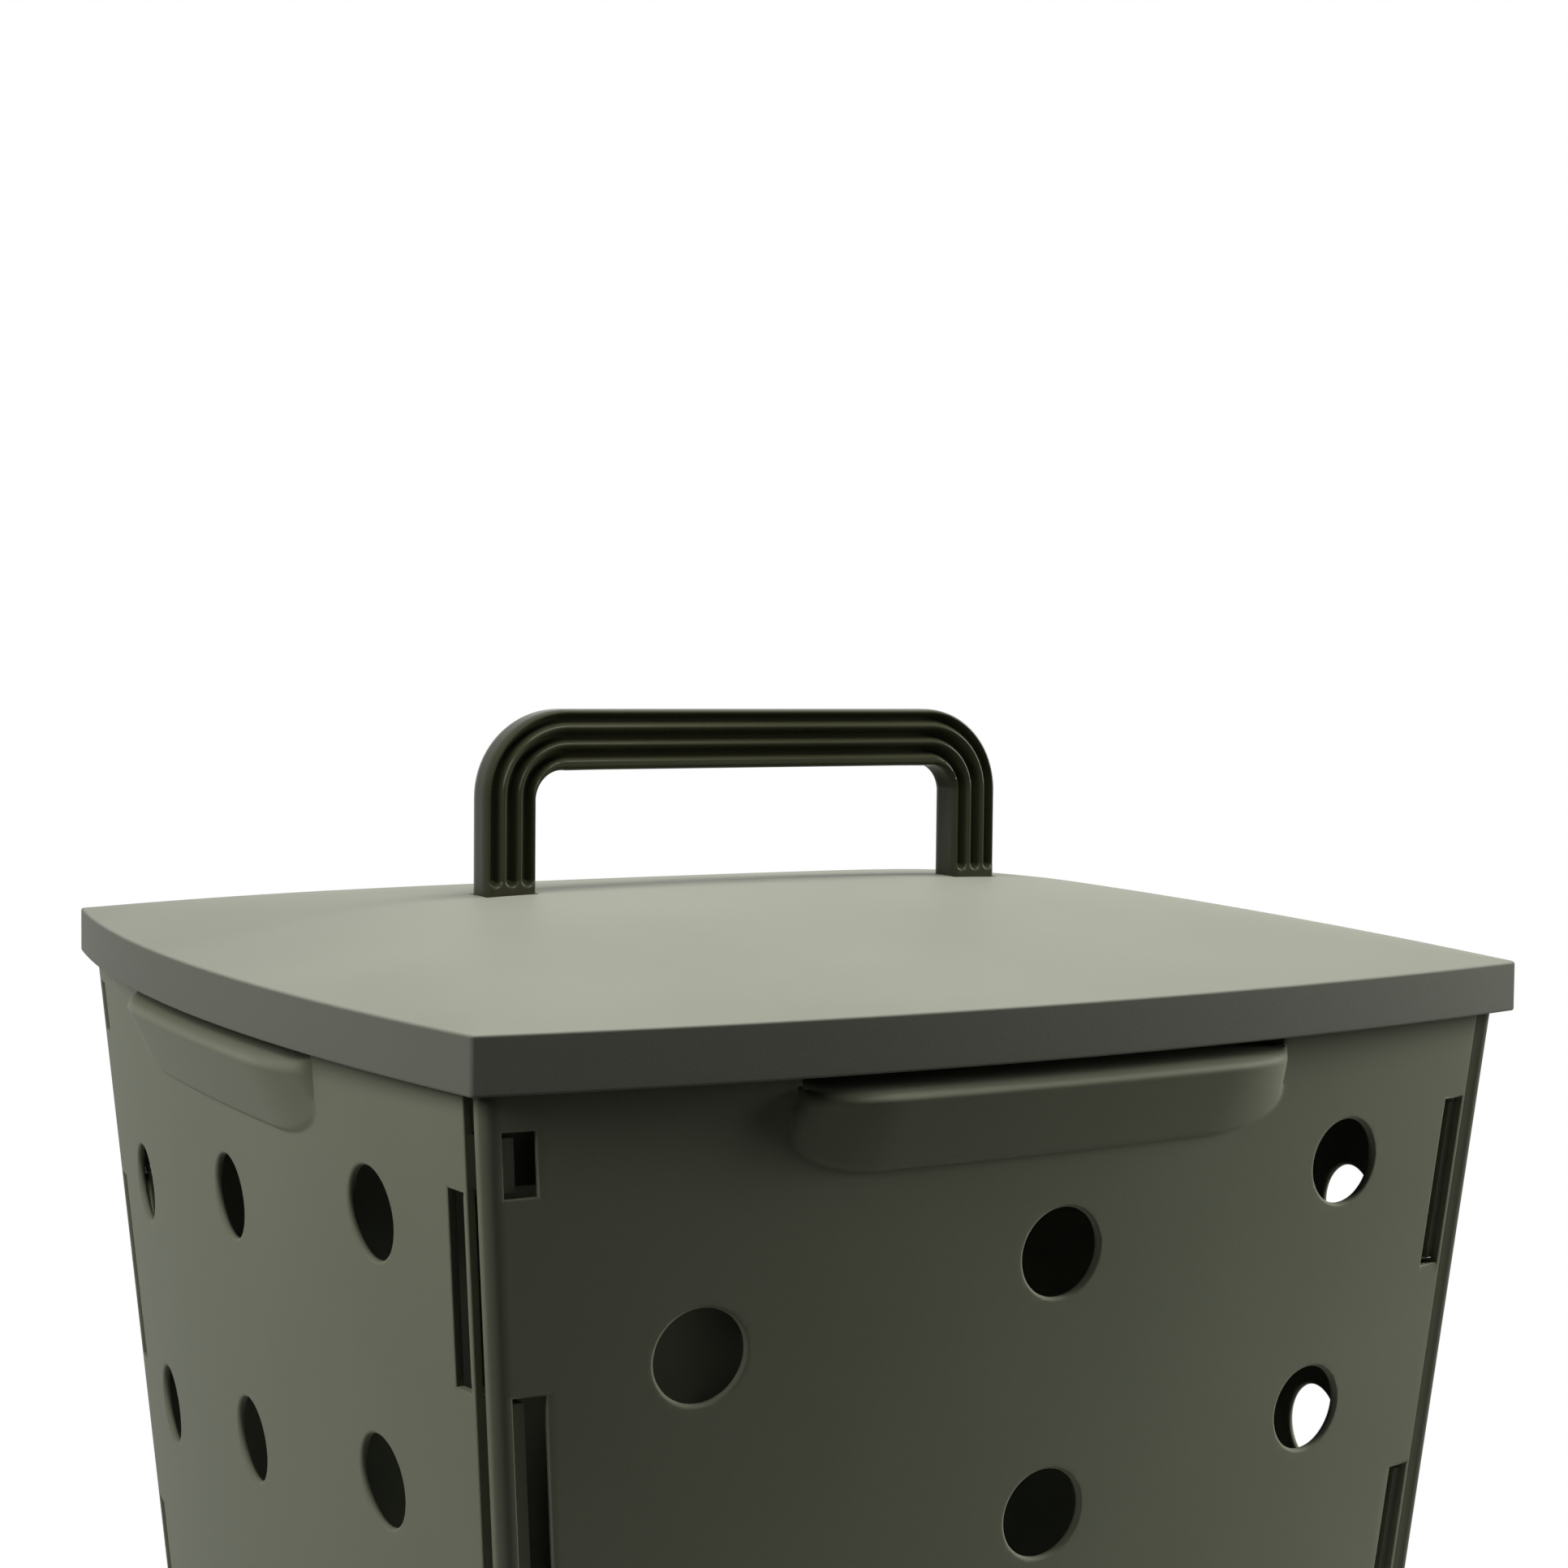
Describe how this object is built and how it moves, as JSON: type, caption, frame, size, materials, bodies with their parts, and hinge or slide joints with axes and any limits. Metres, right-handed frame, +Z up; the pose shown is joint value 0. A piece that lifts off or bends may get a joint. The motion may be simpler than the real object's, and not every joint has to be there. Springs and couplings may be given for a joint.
{
  "type": "compost bin",
  "caption": "Tapered square garden compost bin of interlocking bowed panels pierced with round air holes, with a crowned lift-off lid and a fluted carrying handle.",
  "frame": {"origin": "on the ground, at the middle of the square base", "axes": "+Z up; the handle's bar runs along X; -Y faces the front panel, the right-hand one in the picture, and -X the left panel"},
  "size_m": [0.328, 0.328, 0.4642],
  "materials": {
    "panel_plastic": "matte olive grey-green moulded plastic",
    "floor_plastic": "matte olive grey-green moulded plastic",
    "lid_plastic": "matte olive grey-green moulded plastic with a fine grain",
    "handle_plastic": "satin dark olive moulded plastic",
    "screw_steel": "zinc-plated"
  },
  "bodies": {
    "bin": {"panel_front": "panel_plastic", "panel_right": "panel_plastic", "panel_back": "panel_plastic", "panel_left": "panel_plastic", "floor_plate": "floor_plastic"},
    "lid": {"lid": "lid_plastic", "lid_handle": "handle_plastic", "handle_screws": "screw_steel"}
  },
  "joints": [
    {"name": "lid_lift", "type": "slide", "parent": "bin", "child": "lid", "axis": [0, 0, 1], "range_m": [0, 0.25]}
  ]
}
